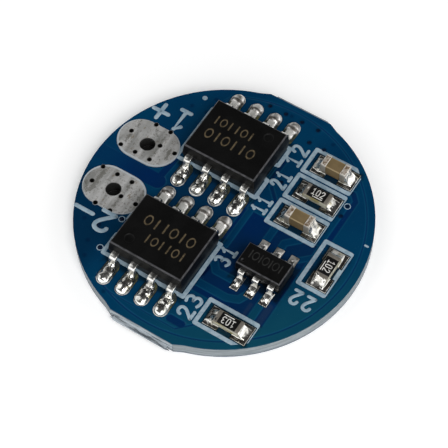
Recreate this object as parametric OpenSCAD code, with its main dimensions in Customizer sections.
// Two-cell battery management board: a round glass-epoxy board of about 17 mm that carries
// two power transistors in eight-lead packages, a six-lead protection controller,
// two ceramic chip capacitors and three chip resistors, all soldered to its upper face.
//
// Frame: millimetres, origin at the centre of the disc on the plane it rests on, +Z up.
// +X runs along the transistors' lead rows, away from the two output terminals.
// +Y runs from the charge transistor to the discharge transistor.

/* [Board] */
// Diameter of the round board
board_d = 17.2; // [17:0.1:20]
// Thickness of the bare glass-epoxy laminate
core_t = 0.8; // [0.6:0.1:1.6]
// Thickness of solder mask with the copper it covers, on each face
mask_t = 0.05; // [0.02:0.01:0.05]
// Thickness of a bare tinned copper land
land_t = 0.06; // [0.06:0.01:0.1]
// Gap between a land and the edge of its opening in the mask
mask_gap = 0.03; // [0.01:0.01:0.05]
// Depth of the two break-off flats below the round outline
flat_depth = 0.13; // [0.05:0.01:0.4]
// Width of each break-off tab at its flat
tab_w = 4.1; // [3:0.1:5]
// Width of each break-off tab where it runs into the round outline
tab_root_w = 5.2; // [5.1:0.1:7]
// Depth of the score cut into each face along a flat
score_depth = 0.3; // [0.2:0.02:0.38]
// Lean of a score's wall from the vertical
score_lean = 15; // [5:1:25]
// How far the torn web stands out past the foot of the scores
web_out = 0.2; // [0.05:0.01:0.3]
// Width of the torn web
web_w = 3.5; // [2:0.1:4]

/* [Output terminals] */
// Length of each output terminal
terminal_l = 3.9; // [3.6:0.1:4]
// Width of each output terminal
terminal_w = 2.7; // [2.5:0.05:2.8]
// Distance from the board's leftmost point to the positive terminal
terminal_edge = 0.32; // [0.32:0.02:0.5]
// How far the negative terminal stands further in than the positive one
terminal_stagger = 0.1; // [0:0.02:0.2]
// Distance between the centres of the two terminals
terminal_pitch = 3.7; // [3.4:0.1:3.8]
// Height of the pair of terminals above the board's centre line
terminal_y = -0.12; // [-0.3:0.02:0.3]
// Diameter of the plated hole for a wire
wire_hole_d = 0.94; // [0.7:0.02:1]
// Distance between the two wire holes
wire_hole_pitch = 3.6; // [3.4:0.1:3.8]
// Wall of the copper barrel that lines a plated hole
barrel_t = 0.03; // [0.02:0.005:0.04]

/* [Via holes] */
// Diameter of a via hole
via_d = 0.24; // [0.15:0.01:0.3]
// Distance between the columns of vias in a terminal
via_column_pitch = 1.01; // [0.95:0.01:1.05]
// Distance between the rows of vias in a terminal
via_row_pitch = 1.12; // [1.05:0.01:1.15]

/* [Transistors] */
// Offset of the transistors' column from the board's centre
fet_x = -1.56; // [-1.6:0.02:-1.3]
// Gap between the facing rows of lands of the two transistors
fet_tip_gap = 0.15; // [0.1:0.05:0.4]
// Length of the moulded body, along the lead rows
fet_body_l = 4.9; // [4.8:0.05:5]
// Width of the moulded body, across the lead rows
fet_body_w = 3.9; // [3.8:0.05:4]
// Height of the moulded body
fet_body_h = 1.42; // [1.25:0.05:1.5]
// Overall width over the lead tips
fet_span = 6.0; // [5.8:0.1:6.2]
// Lead spacing
fet_pitch = 1.27; // [1.2:0.01:1.3]
// Width of a lead
fet_lead_w = 0.42; // [0.33:0.01:0.5]
// Thickness of the lead strip
fet_lead_t = 0.2; // [0.17:0.01:0.25]
// Length of the flat foot of a lead
fet_foot_l = 0.62; // [0.5:0.02:0.8]
// Width of a land
fet_land_w = 0.85; // [0.6:0.05:0.9]
// Length of a land
fet_land_l = 1.67; // [1.6:0.02:1.8]
// How far a land reaches past the tip of its lead
fet_land_toe = 0.7; // [0.6:0.05:0.75]

/* [Controller] */
// Place of the controller on the board, along X
ic_x = 3.98; // [3.9:0.02:4.1]
// Place of the controller on the board, along Y
ic_y = -2.07; // [-2.2:0.02:-1.9]
// Length of the moulded body, along the lead rows
ic_body_l = 2.9; // [2.8:0.05:3]
// Width of the moulded body, across the lead rows
ic_body_w = 1.6; // [1.5:0.05:1.7]
// Height of the moulded body
ic_body_h = 1.05; // [0.9:0.05:1.15]
// Overall width over the lead tips
ic_span = 2.8; // [2.7:0.1:3]
// Lead spacing
ic_pitch = 0.95; // [0.9:0.01:1]
// Width of a lead
ic_lead_w = 0.38; // [0.3:0.01:0.45]
// Thickness of the lead strip
ic_lead_t = 0.15; // [0.1:0.01:0.2]
// Length of the flat foot of a lead
ic_foot_l = 0.36; // [0.3:0.02:0.4]
// Width of a land
ic_land_w = 0.5; // [0.45:0.05:0.6]
// Length of a land
ic_land_l = 0.98; // [0.9:0.02:1.1]
// How far a land reaches past the tip of its lead
ic_land_toe = 0.4; // [0.35:0.05:0.45]

/* [Chip parts] */
// Length of a chip part
chip_l = 1.6; // [1.5:0.05:1.7]
// Width of a chip part
chip_w = 0.8; // [0.7:0.05:0.9]
// Height of a capacitor
cap_h = 0.8; // [0.6:0.05:0.9]
// Length of a capacitor's end cap
cap_band = 0.33; // [0.2:0.01:0.4]
// Height of a resistor's alumina block
res_h = 0.42; // [0.35:0.01:0.5]
// Length of a resistor's end clip on its upper face
res_band = 0.23; // [0.15:0.01:0.3]
// Thickness of the plating on a chip part's ends
plate_t = 0.025; // [0.015:0.005:0.03]
// Thickness of the black glaze on a resistor
glaze_t = 0.035; // [0.03:0.005:0.05]
// Distance over the outer ends of a chip part's two lands
chip_land_span = 2.7; // [2.6:0.05:2.8]
// Length of a chip part's land
chip_land_l = 0.92; // [0.85:0.01:1]
// Width of a chip part's land
chip_land_w = 1.25; // [1:0.05:1.3]
// Distance from the board's rightmost point to the column of chip parts
chip_inset = 4.6; // [4.5:0.02:4.7]
// Distance from the board's topmost point to the first chip part
chip_top_inset = 2.92; // [2.85:0.01:3]
// Distance between the chip parts of the column
chip_row_pitch = 2.0; // [1.95:0.01:2.02]
// Distance from the board's lowest point to the lower resistor
low_resistor_inset = 2.72; // [2.65:0.01:2.9]
// Distance from the board's rightmost point to the upright resistor
upright_resistor_inset = 1.73; // [1.65:0.01:1.8]

/* [Solder and print] */
// Solder left between a lead or chip and its land
film_t = 0.03; // [0.02:0.01:0.05]
// Thickness of the printed legend
legend_t = 0.02; // [0.01:0.01:0.03]
// Width of a printed outline
legend_line = 0.24; // [0.15:0.01:0.26]
// Sideways misplacement of the printed legend
legend_shift = -0.18; // [-0.2:0.01:0]
// Bare margin between the printed legend and the board's edge
legend_margin = 0.27; // [0.2:0.01:0.4]

/* [Hidden] */
$fn = 48;
cut = 0.5;                     // how far a cutting solid runs past the faces it cuts
board_r = board_d / 2;
flat_y = board_r - flat_depth;
score_out = score_depth * tan(score_lean);
chip_x = board_r - chip_inset;
chip_top_y = board_r - chip_top_inset;

// Levels, from the resting plane up
core_z = land_t;                      // underside of the laminate
core_top = core_z + core_t;
mask_top = core_top + mask_t;
land_top = core_top + land_t;

// Output terminals: the positive one first
terminal_x = -(board_r - terminal_edge - terminal_l / 2);
terminals = [[terminal_x, terminal_y + terminal_pitch / 2],
             [terminal_x + terminal_stagger, terminal_y - terminal_pitch / 2]];
wire_holes = [[terminal_x, terminal_y - 0.05 + wire_hole_pitch / 2],
              [terminal_x + terminal_stagger / 2, terminal_y - 0.05 - wire_hole_pitch / 2]];
via_first_column = -1.32;             // first column, from the positive terminal's centre
via_outer_row = 1.3;                  // outer row, from each terminal's centre
via_rows = [[1, 2], [0, 2, 3], [0, 1, 2]];   // columns used in each row, outer row first
terminal_vias = [for (k = [0, 1])
    [for (row = [0:2]) for (column = via_rows[row])
        [terminal_x + via_first_column + column * via_column_pitch,
         terminals[k].y + (1 - 2 * k) * (via_outer_row - row * via_row_pitch)]]];

// Vias that stitch the copper of the two faces together: a row along the far flat and
// two below it, those left of the transistors, one right of them and two by a chip resistor
stitch_pitch = 1.1;
stitch_edge = 0.77;                   // from the flat to the first row
stitch_row_pitch = 1;
stitch_side = 1.63;                   // from a transistor's body to the vias beside it
stitch_near = 0.72;                   // the same, for those under the ends of its outline
resistor_via_side = 0.92;             // from a chip resistor's end to the vias beside it
resistor_via_pitch = 0.75;

// Lands on the underside that the cells' strips are soldered to
cell_minus = [0.5, flat_y - 1.92];
cell_middle = [board_r - 2.3, -0.6];

// Transistors: distances from the package's centre
fet_land_tip = fet_span / 2 + fet_land_toe;
fet_y = fet_land_tip + fet_tip_gap / 2;
fet_stand_off = 0.1;                  // underside of the body above the lands
fet_exit_z = fet_stand_off + 0.66;    // middle of the lead strip where it leaves the body
fet_bend_r = 0.2;
fet_draft = 8;
fet_edge = 0.07;                      // chamfer round the body's upper face
fet_dimple_d = 0.56;                  // mark beside the first lead
fet_dimple = [-1.54, -1.09];

fet_side = fet_body_l / 2 + stitch_side;
stitch_vias = concat(
    [for (i = [-1.5:1.5]) [i * stitch_pitch, flat_y - stitch_edge]],
    [for (i = [1.5, 2.4]) [i * stitch_pitch, flat_y - stitch_edge - stitch_row_pitch]],
    [[fet_x - fet_side, fet_y + 0.4], [fet_x - fet_side, -fet_y - 0.6]],
    [for (y = [-1.78, 0.4]) [fet_x - fet_body_l / 2 - stitch_near, y - fet_y]],
    [[fet_x + fet_body_l / 2 + stitch_near + 0.06, fet_y - 0.28]],
    [for (i = [0.56, -0.44]) [chip_x + chip_l / 2 + resistor_via_side,
                              chip_top_y - chip_row_pitch + i * resistor_via_pitch]]);

// Controller
ic_land_tip = ic_span / 2 + ic_land_toe;
ic_stand_off = 0.06;
ic_exit_z = ic_stand_off + 0.55;
ic_bend_r = 0.13;
ic_draft = 7;
ic_edge = 0.05;
ic_dimple_d = 0.22;
ic_dimple = [-1.12, -0.45];

lead_embed = 0.35;                    // length of lead held inside the moulding
lead_lean = 10;                       // lean of a lead's leg from the vertical
dimple_depth = 0.05;

// Chip parts: place, turn
capacitors = [[chip_x, chip_top_y, 0], [chip_x, chip_top_y - 2 * chip_row_pitch, 0]];
resistors = [[chip_x, chip_top_y - chip_row_pitch, 0],
             [board_r - upright_resistor_inset, -0.05, 90],
             [chip_x + 0.05, low_resistor_inset - board_r, 0]];

// Printed boxes round the chip parts and outlines of the transistors
box_l = 3.06;
box_w = 1.66;
box_corner_cut = 0.45;                // bevel of the box that meets the board's edge
outline_l = 5.37;
outline_notch_r = 0.6;

// ---------------------------------------------------------------- shapes used by several parts

// Flat outline with two half-round ends, lying along X
module stadium(l, w) {
    square([l - w, w], center = true);
    for (s = [-1, 1]) translate([s * (l - w) / 2, 0]) circle(d = w);
}

module at_each(points) {
    for (p = points) translate(p) children();
}

// A plate between two levels, from the flat shape given
module plate(z, t) {
    translate([0, 0, z]) linear_extrude(t) children();
}

// Extrudes a [y, z] profile along X, or an [x, z] profile along Y, centred on the axis
module along_x(l) {
    translate([-l / 2, 0, 0]) rotate([90, 0, 90]) linear_extrude(l) children();
}

module along_y(l) {
    translate([0, l / 2, 0]) rotate([90, 0, 0]) linear_extrude(l) children();
}

function arc(c, r, a0, a1, n = 5) =
    [for (i = [0:n]) c + r * [cos(a0 + (a1 - a0) * i / n), sin(a0 + (a1 - a0) * i / n)]];

// ---------------------------------------------------------------- bare board

// The two break-off tabs: their flanks run on into the round outline
module tabs() {
    inner_x = tab_root_w - tab_w / 2;
    inner_y = 2 * sqrt(pow(board_r, 2) - pow(tab_root_w / 2, 2)) - flat_y;
    polygon([
        [inner_x, inner_y], [tab_w / 2, flat_y], [-tab_w / 2, flat_y], [-inner_x, inner_y],
        [-inner_x, -inner_y], [-tab_w / 2, -flat_y], [tab_w / 2, -flat_y], [inner_x, -inner_y]]);
}

module board_outline() {
    intersection() {
        circle(r = board_r, $fn = 180);
        square([board_d + cut, 2 * flat_y], center = true);
    }
    tabs();
}

module via_holes() {
    at_each(stitch_vias) circle(d = via_d);
}

module via_barrel_walls() {
    at_each(stitch_vias) circle(d = via_d + 2 * barrel_t);
}

// Outer walls of the copper barrels of terminal k
module barrel_walls(k) {
    translate(wire_holes[k]) circle(d = wire_hole_d + 2 * barrel_t);
    at_each(terminal_vias[k]) circle(d = via_d + 2 * barrel_t);
}

module barrel_bores(k) {
    translate(wire_holes[k]) circle(d = wire_hole_d);
    at_each(terminal_vias[k]) circle(d = via_d);
}

// Section of a break-off edge: a score in each face and the torn web between them
module score_section(out) {
    foot = flat_y + score_out;
    low = core_z + score_depth;
    high = core_top - score_depth;
    polygon([
        [0, core_z], [flat_y, core_z], [foot, low], [foot + out, low],
        [foot + out, high], [foot, high], [flat_y, core_top], [0, core_top]]);
}

module scored_tab() {
    intersection() {
        plate(core_z, core_t) polygon([
            for (s = [1, -1], i = [0, 1])
                [s * tab_w / 2, i == (s > 0 ? 0 : 1) ? 0 : flat_y + score_out]]);
        along_x(tab_w) score_section(0);
    }
    along_x(web_w) score_section(web_out);
}

module round_laminate() {
    color([0.78, 0.80, 0.76]) difference() {
        union() {
            plate(core_z, core_t) board_outline();
            for (turn = [0, 180]) rotate(turn) scored_tab();
        }
        plate(core_z - cut, core_t + 2 * cut) {
            via_barrel_walls();
            for (k = [0, 1]) barrel_walls(k);
        }
    }
}

// Copper that lines the stitching vias through the laminate
module via_barrels() {
    color([0.72, 0.45, 0.30]) plate(core_z, core_t) difference() {
        via_barrel_walls();
        via_holes();
    }
}

// Openings that both faces share: the plated terminals with their barrels
module terminal_openings() {
    for (k = [0, 1]) {
        translate(terminals[k]) stadium(terminal_l + 2 * mask_gap, terminal_w + 2 * mask_gap);
        at_each(terminal_vias[k]) circle(d = via_d + 2 * barrel_t + 2 * mask_gap);
    }
}

module solder_mask_top() {
    color([0.02, 0.17, 0.33]) plate(core_top, mask_t) difference() {
        board_outline();
        via_holes();
        terminal_openings();
        land_outlines(mask_gap);
    }
}

module solder_mask_bottom() {
    color([0.02, 0.17, 0.33]) plate(core_z - mask_t, mask_t) difference() {
        board_outline();
        via_holes();
        terminal_openings();
        translate(cell_minus) stadium(terminal_l + 2 * mask_gap, terminal_w + 2 * mask_gap);
        translate(cell_middle) rotate(90)
            stadium(terminal_l + 2 * mask_gap, terminal_w + 2 * mask_gap);
    }
}

// ---------------------------------------------------------------- bare copper

// A plated-through terminal: a land on each face, joined by the barrels that line its holes
module output_terminal(k) {
    color([0.72, 0.70, 0.68]) {
        for (z = [0, core_top]) plate(z, land_t) difference() {
            union() {
                translate(terminals[k]) stadium(terminal_l, terminal_w);
                at_each(terminal_vias[k]) circle(d = via_d + 2 * barrel_t);
            }
            barrel_bores(k);
        }
        plate(land_t, core_t) difference() {
            barrel_walls(k);
            barrel_bores(k);
        }
    }
}

module cell_land(place, turn) {
    color([0.72, 0.70, 0.68]) plate(0, land_t) difference() {
        translate(place) rotate(turn) stadium(terminal_l, terminal_w);
        via_holes();
    }
}

// Lands of one gull-wing package, as flat outlines grown by g
module package_lands(count, pitch, tip, l, w, round_ends, g) {
    for (side = [0, 180]) rotate(side) for (i = [0:count - 1])
        translate([(i - (count - 1) / 2) * pitch, tip - l / 2]) rotate(90)
            if (round_ends) stadium(l + 2 * g, w + 2 * g);
            else square([l + 2 * g, w + 2 * g], center = true);
}

module chip_lands(g) {
    for (s = [-1, 1]) translate([s * (chip_land_span - chip_land_l) / 2, 0])
        square([chip_land_l + 2 * g, chip_land_w + 2 * g], center = true);
}

module land_outlines(g) {
    for (y = [-fet_y, fet_y]) translate([fet_x, y])
        package_lands(4, fet_pitch, fet_land_tip, fet_land_l, fet_land_w, true, g);
    translate([ic_x, ic_y])
        package_lands(3, ic_pitch, ic_land_tip, ic_land_l, ic_land_w, false, g);
    for (c = concat(capacitors, resistors)) translate([c.x, c.y]) rotate(c.z) chip_lands(g);
}

module component_lands() {
    color([0.75, 0.73, 0.70]) plate(core_top, land_t) land_outlines(0);
}

// ---------------------------------------------------------------- gull-wing packages

// Half of a moulding's section: draft both ways from the parting line, chamfered top edge
function moulding_half(half, h, parting, draft, edge) = [
    [half - parting * tan(draft), 0],
    [half, parting],
    [half - (h - edge - parting) * tan(draft), h - edge],
    [half - (h - edge - parting) * tan(draft) - edge, h]];

module moulding_section(half, h, parting, draft, edge) {
    right = moulding_half(half, h, parting, draft, edge);
    polygon(concat(right, [for (i = [len(right) - 1:-1:0]) [-right[i].x, right[i].y]]));
}

module moulding(l, w, h, parting, draft, edge) {
    intersection() {
        along_y(w + cut) moulding_section(l / 2, h, parting, draft, edge);
        along_x(l + cut) moulding_section(w / 2, h, parting, draft, edge);
    }
}

// Bent strip in [y, z]: a shoulder at exit_z, a leaning leg and a foot at foot_z, with
// the middle of its thickness on the line, and round bends of radius r
module gull_section(start, knee, exit_z, foot_z, toe, t, r) {
    turn = 90 - lead_lean;
    tangent = r * tan(turn / 2);
    ankle = knee + (exit_z - foot_z) / tan(turn);
    upper = [knee - tangent, exit_z - r];
    lower = [ankle + tangent, foot_z + r];
    polygon(concat(
        [[start, exit_z + t / 2]],
        arc(upper, r + t / 2, 90, 90 - turn),
        arc(lower, r - t / 2, 270 - turn, 270),
        [[toe, foot_z + t / 2], [toe, foot_z - t / 2]],
        arc(lower, r + t / 2, 270, 270 - turn),
        arc(upper, r - t / 2, 90 - turn, 90),
        [[start, exit_z - t / 2]]));
}

function foot_level(t) = film_t + t / 2;

function knee_place(span, foot_l, exit_z, t) =
    span / 2 - foot_l - (exit_z - foot_level(t)) * tan(lead_lean);

module fet_lead_form() {
    along_x(fet_lead_w) gull_section(fet_body_w / 2 - lead_embed,
        knee_place(fet_span, fet_foot_l, fet_exit_z, fet_lead_t),
        fet_exit_z, foot_level(fet_lead_t), fet_span / 2, fet_lead_t, fet_bend_r);
}

module ic_lead_form() {
    along_x(ic_lead_w) gull_section(ic_body_w / 2 - lead_embed,
        knee_place(ic_span, ic_foot_l, ic_exit_z, ic_lead_t),
        ic_exit_z, foot_level(ic_lead_t), ic_span / 2, ic_lead_t, ic_bend_r);
}

// Puts a lead form at lead number n, counted as on the package: the first row from left
// to right on the near side, then back along the far side
module at_lead(n, per_row, pitch) {
    far = n > per_row;
    column = far ? 2 * per_row - n : n - 1;
    translate([(column - (per_row - 1) / 2) * pitch, 0, 0]) rotate(far ? 0 : 180) children();
}

// Solder over one foot: its outline on the land, its run along the foot and its crown across
// the foot, less the lead that it holds
module gull_solder(tip, l, w, round_end, leg, foot_top, toe) {
    heel = tip - l;
    edge = 0.02;
    climb = foot_top + 0.2;
    difference() {
        intersection() {
            plate(0, climb) translate([0, tip - l / 2]) rotate(90)
                if (round_end) stadium(l, w); else square([l, w], center = true);
            along_x(w) polygon([
                [heel, 0], [heel, edge], [(heel + leg) / 2, foot_top], [leg, climb],
                [leg + 0.12, climb - 0.04], [leg + 0.3, foot_top + 0.06], [toe, foot_top + 0.04],
                [toe + 0.12, foot_top - 0.02], [(toe + tip) / 2 + 0.04, 0.42 * foot_top],
                [tip, edge], [tip, 0]]);
            translate([0, tip, 0]) along_y(2 * l) polygon(concat(
                [[-w / 2, 0]],
                [for (i = [0:10]) [-w / 2 * cos(18 * i), edge + climb * pow(sin(18 * i), 0.75)]],
                [[w / 2, 0]]));
        }
        children();
    }
}

module fet_solder() {
    for (n = [1:8]) at_lead(n, 4, fet_pitch)
        gull_solder(fet_land_tip, fet_land_l, fet_land_w, true,
            fet_span / 2 - fet_foot_l, film_t + fet_lead_t, fet_span / 2) fet_lead_form();
}

module ic_solder() {
    for (n = [1:6]) at_lead(n, 3, ic_pitch)
        gull_solder(ic_land_tip, ic_land_l, ic_land_w, false,
            ic_span / 2 - ic_foot_l, film_t + ic_lead_t, ic_span / 2) ic_lead_form();
}

module fet_body() {
    color([0.09, 0.09, 0.09]) difference() {
        translate([0, 0, fet_stand_off]) moulding(fet_body_l, fet_body_w, fet_body_h,
            fet_exit_z - fet_stand_off, fet_draft, fet_edge);
        for (n = [1:8]) at_lead(n, 4, fet_pitch) fet_lead_form();
        translate([fet_dimple.x, fet_dimple.y, fet_stand_off + fet_body_h - dimple_depth])
            cylinder(d = fet_dimple_d, h = cut);
    }
}

module ic_body() {
    color([0.09, 0.09, 0.09]) difference() {
        translate([0, 0, ic_stand_off]) moulding(ic_body_l, ic_body_w, ic_body_h,
            ic_exit_z - ic_stand_off, ic_draft, ic_edge);
        for (n = [1:6]) at_lead(n, 3, ic_pitch) ic_lead_form();
        translate([ic_dimple.x, ic_dimple.y, ic_stand_off + ic_body_h - dimple_depth])
            cylinder(d = ic_dimple_d, h = cut);
    }
}

// The discharge transistor is turned half round, so that the drains of the two meet
module at_discharge() { translate([fet_x, fet_y, land_top]) rotate(180) children(); }
module at_charge() { translate([fet_x, -fet_y, land_top]) children(); }
module at_controller() { translate([ic_x, ic_y, land_top]) children(); }

// ---------------------------------------------------------------- chip parts

module at_chip(c) {
    translate([c.x, c.y, land_top + film_t]) rotate(c.z) children();
}

// A block centred in X and Y that stands on z
module block(l, w, h, z = 0) {
    translate([-l / 2, -w / 2, z]) cube([l, w, h]);
}

module cap_ceramic() {
    color([0.55, 0.45, 0.32])
        block(chip_l - 2 * plate_t, chip_w - 2 * plate_t, cap_h - 2 * plate_t, plate_t);
}

module cap_end_caps() {
    color([0.80, 0.78, 0.75]) for (s = [-1, 1]) difference() {
        translate([s * (chip_l - cap_band) / 2, 0, 0]) block(cap_band, chip_w, cap_h);
        cap_ceramic();
    }
}

module res_alumina() {
    color([0.82, 0.80, 0.70])
        block(chip_l - 2 * plate_t, chip_w, res_h - 2 * plate_t, plate_t);
}

module res_glaze() {
    color([0.05, 0.05, 0.05]) block(chip_l - 2 * res_band, chip_w - 2 * plate_t, glaze_t, res_h - plate_t);
}

module res_end_clips() {
    color([0.80, 0.78, 0.75]) for (s = [-1, 1]) difference() {
        translate([s * (chip_l - res_band) / 2, 0, 0]) block(res_band, chip_w, res_h);
        res_alumina();
    }
}

// Solder at both ends of a chip of height h: a fillet up the end face, narrowing from the
// land's width to the chip's, and a low one beside the plated end
module chip_solder(h) {
    outer = chip_land_span / 2;
    inner = outer - chip_land_l;
    climb = film_t + 0.75 * h;
    edge = 0.02;
    color([0.80, 0.80, 0.80]) for (s = [0, 180]) rotate(s) difference() {
        intersection() {
            translate([inner + chip_land_l / 2, 0, -film_t])
                block(chip_land_l, chip_land_w, climb);
            along_y(chip_land_w) polygon([
                [inner, -film_t], [inner, edge - film_t], [inner + 0.1, 0.2 * h],
                [chip_l / 2 - 0.06, 0.35 * h], [chip_l / 2 - 0.03, climb - film_t],
                [chip_l / 2 + 0.06, climb - film_t], [chip_l / 2 + 0.2, 0.36 * climb],
                [outer, edge - film_t], [outer, -film_t]]);
            along_x(2 * chip_land_span) polygon([
                [-chip_land_w / 2, -film_t], [-chip_land_w / 2, edge - film_t],
                [-chip_w / 2 - 0.07, 0.4 * h], [-chip_w / 2 + 0.02, climb - film_t],
                [chip_w / 2 - 0.02, climb - film_t], [chip_w / 2 + 0.07, 0.4 * h],
                [chip_land_w / 2, edge - film_t], [chip_land_w / 2, -film_t]]);
        }
        block(chip_l, chip_w, h);
    }
}

// ---------------------------------------------------------------- printed outlines

// A printed stroke, with round ends, through each point of a path in turn
module printed_path(points) {
    for (i = [1:len(points) - 1]) {
        step = points[i] - points[i - 1];
        translate((points[i] + points[i - 1]) / 2) rotate(atan2(step.y, step.x))
            stadium(norm(step) + legend_line, legend_line);
    }
}

// Box round a chip part, with its far corner cut off where it would meet the board's edge
module printed_box(corner_cut) {
    x = box_l / 2;
    y = box_w / 2;
    printed_path(concat([[x, y - corner_cut], [x, -y], [-x, -y], [-x, y], [x - corner_cut, y]],
                        corner_cut > 0 ? [[x, y - corner_cut]] : []));
}

// Outline of a transistor with the half-round notch at its first lead's end
module fet_outline() {
    x = outline_l / 2;
    y = fet_body_w / 2;
    r = outline_notch_r;
    printed_path([[-x, r], [-x, y], [x, y], [x, -y], [-x, -y], [-x, -r]]);
    translate([-x, 0]) intersection() {
        difference() {
            circle(r = r + legend_line / 2);
            circle(r = r - legend_line / 2);
        }
        translate([0, -2 * r]) square(4 * r);
    }
}

module printed_outlines() {
    color([0.80, 0.83, 0.85]) plate(mask_top, legend_t) difference() {
        intersection() {
            circle(r = board_r - legend_margin, $fn = 180);
            translate([legend_shift, 0]) {
                for (i = [0, 1]) translate([capacitors[i].x, capacitors[i].y])
                    printed_box(i == 0 ? box_corner_cut : 0);
                for (c = resistors) translate([c.x, c.y]) rotate(c.z) printed_box(0);
                translate([fet_x, fet_y]) rotate(180) fet_outline();
                translate([fet_x, -fet_y]) fet_outline();
            }
        }
        via_holes();
        land_outlines(2 * mask_gap);
        terminal_openings();
    }
}

// ---------------------------------------------------------------- nodes

lead_colour = [0.76, 0.75, 0.74];
solder_colour = [0.80, 0.80, 0.80];
fet_sources = [1, 2, 3];
fet_gate = 4;
fet_drains = [8, 7, 6, 5];            // drain leads by place along the row

module fet_nodes(q, place) {
    fet_at(place) fet_body();
    color(solder_colour) fet_at(place) fet_solder();
    color(lead_colour) fet_at(place) at_lead(fet_gate, 4, fet_pitch) fet_lead_form();
    for (i = [1:3]) color(lead_colour) fet_at(place) at_lead(fet_sources[i - 1], 4, fet_pitch) fet_lead_form();
    for (i = [1:4]) color(lead_colour) fet_at(place) at_lead(fet_drains[i - 1], 4, fet_pitch) fet_lead_form();
}

module fet_at(place) {
    if (place == "discharge") at_discharge() children();
    else at_charge() children();
}

round_laminate();
via_barrels();
solder_mask_top();
solder_mask_bottom();
output_terminal(0);  // output_terminal_plus
output_terminal(1);  // output_terminal_minus
cell_land(cell_minus, 0);  // cell_land_minus
cell_land(cell_middle, 90);  // cell_land_middle
component_lands();
printed_outlines();
fet_nodes("discharge", "discharge");
fet_nodes("charge", "charge");
at_controller() ic_body();  // controller_body
color(solder_colour) at_controller() ic_solder();  // controller_solder
for (i = [1:6]) color(lead_colour) at_controller() at_lead(i, 3, ic_pitch) ic_lead_form();
for (i = [0:1]) {
    at_chip(capacitors[i]) cap_ceramic();
    at_chip(capacitors[i]) cap_end_caps();
    at_chip(capacitors[i]) chip_solder(cap_h);
}
for (i = [0:2]) {
    at_chip(resistors[i]) res_alumina();
    at_chip(resistors[i]) res_glaze();
    at_chip(resistors[i]) res_end_clips();
    at_chip(resistors[i]) chip_solder(res_h);
}
